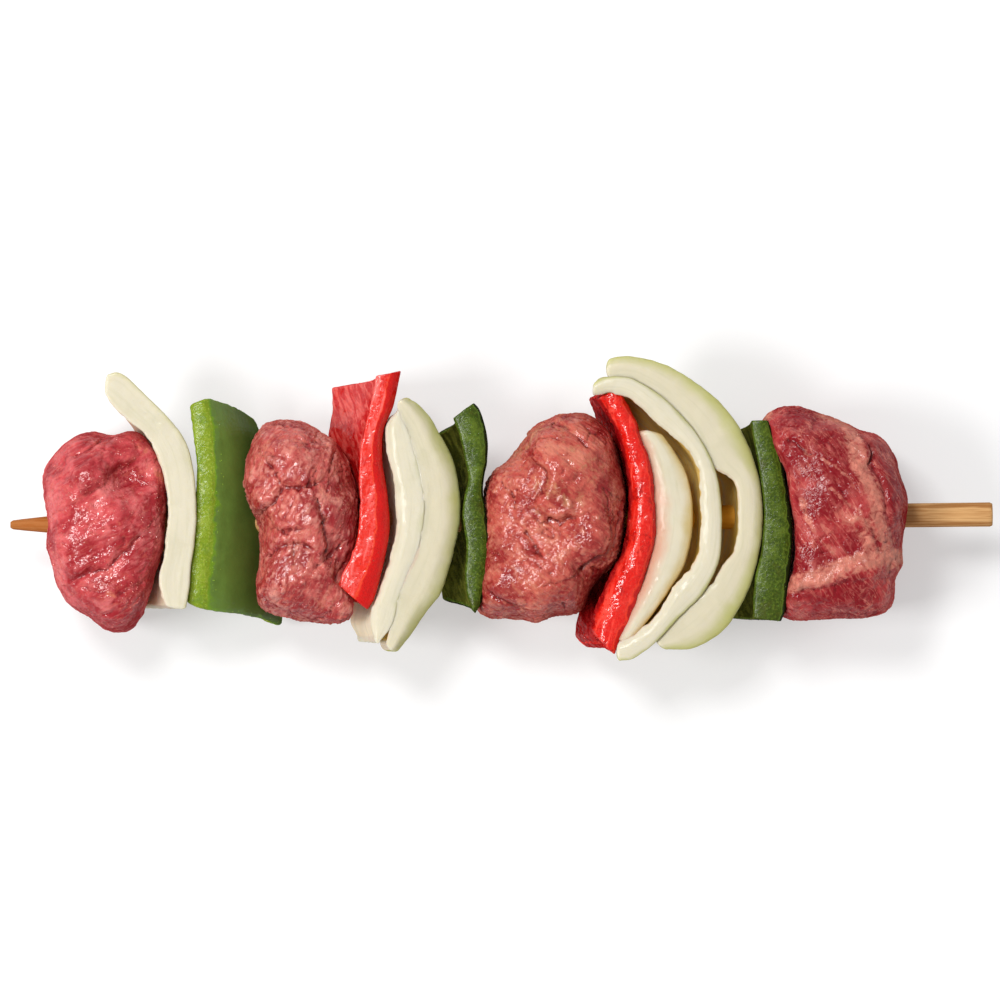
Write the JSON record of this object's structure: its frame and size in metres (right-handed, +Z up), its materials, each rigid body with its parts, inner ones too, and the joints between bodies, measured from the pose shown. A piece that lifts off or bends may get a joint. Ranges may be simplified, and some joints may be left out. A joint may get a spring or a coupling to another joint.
{
  "type": "beef kebab skewer",
  "caption": "Raw beef cubes, onion petals and red and green pepper pieces threaded on a pointed bamboo skewer, lying on its side.",
  "frame": {"origin": "middle of the underside of the whole kebab, on the table", "axes": "+X along the skewer from its point to its blunt end, +Y across the kebab, +Z up"},
  "size_m": [0.254, 0.0778, 0.0513],
  "materials": {
    "beef_pink_red": "wet raw meat, bright pink-red",
    "beef_brown_pink": "moist raw meat, brown-pink, fibrous",
    "beef_marbled": "moist raw meat with bands of fat",
    "onion_flesh": "translucent cream flesh with green edges",
    "pepper_light_green": "glossy skin and rough pale cut edge",
    "pepper_red": "glossy skin and juicy cut edge",
    "pepper_dark_green": "glossy dark skin and green cut edge",
    "bamboo": "dry, finely grained, light brown"
  },
  "bodies": {
    "root": {"beef_1": "beef_pink_red", "beef_2": "beef_brown_pink", "beef_3": "beef_brown_pink", "beef_4": "beef_marbled", "onion_1": "onion_flesh", "onion_2_inner": "onion_flesh", "onion_2_outer": "onion_flesh", "onion_3_inner": "onion_flesh", "onion_3_middle": "onion_flesh", "onion_3_outer": "onion_flesh", "green_pepper": "pepper_light_green", "red_pepper_1": "pepper_red", "red_pepper_2": "pepper_red", "dark_green_pepper_1": "pepper_dark_green", "dark_green_pepper_2": "pepper_dark_green", "skewer": "bamboo"}
  },
  "joints": []
}
